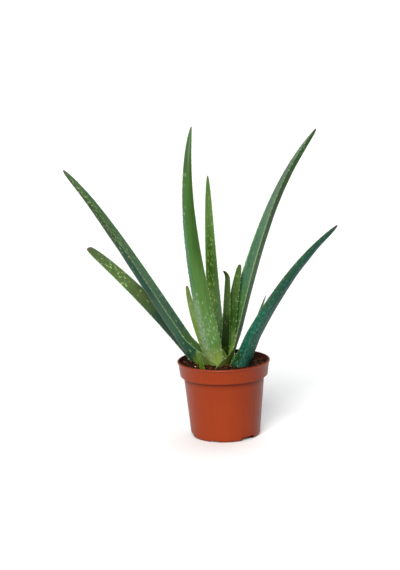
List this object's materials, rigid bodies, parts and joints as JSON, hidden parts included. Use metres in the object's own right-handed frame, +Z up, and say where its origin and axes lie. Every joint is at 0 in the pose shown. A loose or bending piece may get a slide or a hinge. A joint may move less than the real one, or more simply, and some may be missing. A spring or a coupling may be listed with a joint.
{
  "type": "potted aloe plant",
  "caption": "Young aloe with long tapering toothed leaves, growing in a tapered round plastic nursery pot filled with dark potting soil.",
  "frame": {"origin": "centre of the pot's flat underside, where it stands on the floor", "axes": "+Z up along the pot's own axis, -Y towards the front of the plant, +X to its right"},
  "size_m": [0.3419, 0.3021, 0.404],
  "materials": {
    "pot_plastic": "satin",
    "leaf_skin": "satin",
    "stem_skin": "matte",
    "potting_soil": "matte"
  },
  "bodies": {
    "root": {"pot": "pot_plastic", "soil": "potting_soil", "stem": "stem_skin", "offset_stem": "stem_skin", "leaf_inner_dark": "leaf_skin", "leaf_inner_green": "leaf_skin", "leaf_inner_left": "leaf_skin", "leaf_back": "leaf_skin", "leaf_front_tall": "leaf_skin", "leaf_right_tall": "leaf_skin", "leaf_left_long": "leaf_skin", "leaf_left_low": "leaf_skin", "leaf_right_short": "leaf_skin", "leaf_right_low": "leaf_skin", "pup_leaf": "leaf_skin"}
  },
  "joints": []
}
